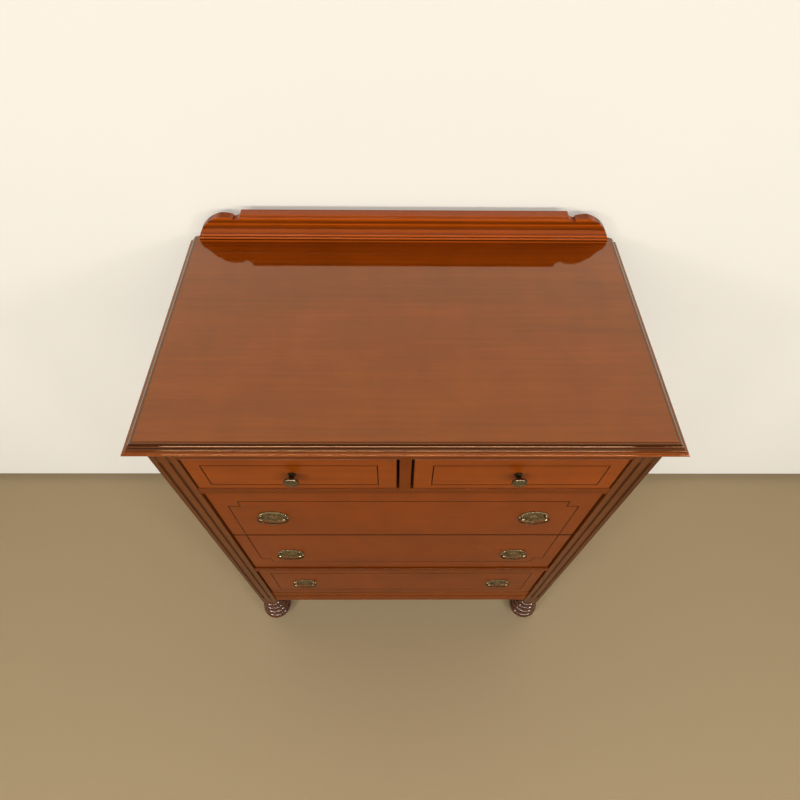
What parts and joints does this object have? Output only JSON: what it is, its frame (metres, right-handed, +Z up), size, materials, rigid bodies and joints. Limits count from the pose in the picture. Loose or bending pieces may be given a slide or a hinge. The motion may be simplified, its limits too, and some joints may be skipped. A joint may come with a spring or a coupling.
{
  "type": "chest of drawers",
  "caption": "Tall wooden chest of drawers with short drawers over long ones, fluted corner posts, moulded top with a low gallery, bail pulls and ring-turned legs.",
  "frame": {"origin": "on the floor, under the middle of the top board's plan", "axes": "+Z up, -Y out of the front, +X to the right as seen from the front"},
  "size_m": [0.8594, 0.4894, 1.153],
  "materials": {
    "case_wood": "satin brown stain",
    "top_wood": "polished brown stain",
    "front_wood": "satin red-brown stain",
    "inner_wood": "bare",
    "brass": "aged"
  },
  "bodies": {
    "case": {"top": "top_wood", "gallery": "top_wood", "left_side_panel": "case_wood", "right_side_panel": "case_wood", "front_left_post": "case_wood", "front_right_post": "case_wood", "rear_left_post": "case_wood", "rear_right_post": "case_wood", "front_legs": "case_wood", "rear_legs": "case_wood", "back_panel": "inner_wood", "top_rail": "case_wood", "upper_rail": "case_wood", "middle_rail": "inner_wood", "lower_rail": "case_wood", "bottom_rail": "case_wood", "centre_divider": "case_wood", "rear_rails": "inner_wood", "drawer_runners": "inner_wood", "drawer_guides": "inner_wood", "dust_panels": "inner_wood", "top_cleats": "inner_wood", "drawer_stops": "inner_wood"},
    "left_small_drawer": {"left_small_drawer_front": "front_wood", "left_small_drawer_sides": "inner_wood", "left_small_drawer_back": "inner_wood", "left_small_drawer_floor": "inner_wood", "left_knob": "brass"},
    "right_small_drawer": {"right_small_drawer_front": "front_wood", "right_small_drawer_sides": "inner_wood", "right_small_drawer_back": "inner_wood", "right_small_drawer_floor": "inner_wood", "right_knob": "brass"},
    "upper_drawer": {"upper_drawer_front": "front_wood", "upper_drawer_sides": "inner_wood", "upper_drawer_back": "inner_wood", "upper_drawer_floor": "inner_wood", "upper_drawer_backplates": "brass", "upper_drawer_pull_bolts": "brass"},
    "middle_drawer": {"middle_drawer_front": "front_wood", "middle_drawer_sides": "inner_wood", "middle_drawer_back": "inner_wood", "middle_drawer_floor": "inner_wood", "middle_drawer_backplates": "brass", "middle_drawer_pull_bolts": "brass"},
    "bottom_drawer": {"bottom_drawer_front": "front_wood", "bottom_drawer_sides": "inner_wood", "bottom_drawer_back": "inner_wood", "bottom_drawer_floor": "inner_wood", "bottom_drawer_backplates": "brass", "bottom_drawer_pull_bolts": "brass"},
    "upper_left_bail": {"upper_left_bail": "brass"},
    "upper_right_bail": {"upper_right_bail": "brass"},
    "middle_left_bail": {"middle_left_bail": "brass"},
    "middle_right_bail": {"middle_right_bail": "brass"},
    "bottom_left_bail": {"bottom_left_bail": "brass"},
    "bottom_right_bail": {"bottom_right_bail": "brass"}
  },
  "joints": [
    {"name": "left_small_drawer_slide", "type": "slide", "parent": "case", "child": "left_small_drawer", "axis": [0, -1, 0], "range_m": [0, 0.32]},
    {"name": "right_small_drawer_slide", "type": "slide", "parent": "case", "child": "right_small_drawer", "axis": [0, -1, 0], "range_m": [0, 0.32]},
    {"name": "upper_drawer_slide", "type": "slide", "parent": "case", "child": "upper_drawer", "axis": [0, -1, 0], "range_m": [0, 0.32]},
    {"name": "middle_drawer_slide", "type": "slide", "parent": "case", "child": "middle_drawer", "axis": [0, -1, 0], "range_m": [0, 0.32]},
    {"name": "bottom_drawer_slide", "type": "slide", "parent": "case", "child": "bottom_drawer", "axis": [0, -1, 0], "range_m": [0, 0.32]},
    {"name": "upper_left_bail_hinge", "type": "hinge", "parent": "upper_drawer", "child": "upper_left_bail", "pos_m": [-0.258, -0.2285, 0.788], "axis": [-1, 0, 0], "range_deg": [0, 160]},
    {"name": "upper_right_bail_hinge", "type": "hinge", "parent": "upper_drawer", "child": "upper_right_bail", "pos_m": [0.258, -0.2285, 0.788], "axis": [-1, 0, 0], "range_deg": [0, 160]},
    {"name": "middle_left_bail_hinge", "type": "hinge", "parent": "middle_drawer", "child": "middle_left_bail", "pos_m": [-0.258, -0.2285, 0.567], "axis": [-1, 0, 0], "range_deg": [0, 160]},
    {"name": "middle_right_bail_hinge", "type": "hinge", "parent": "middle_drawer", "child": "middle_right_bail", "pos_m": [0.258, -0.2285, 0.567], "axis": [-1, 0, 0], "range_deg": [0, 160]},
    {"name": "bottom_left_bail_hinge", "type": "hinge", "parent": "bottom_drawer", "child": "bottom_left_bail", "pos_m": [-0.258, -0.2285, 0.3295], "axis": [-1, 0, 0], "range_deg": [0, 160]},
    {"name": "bottom_right_bail_hinge", "type": "hinge", "parent": "bottom_drawer", "child": "bottom_right_bail", "pos_m": [0.258, -0.2285, 0.3295], "axis": [-1, 0, 0], "range_deg": [0, 160]}
  ]
}
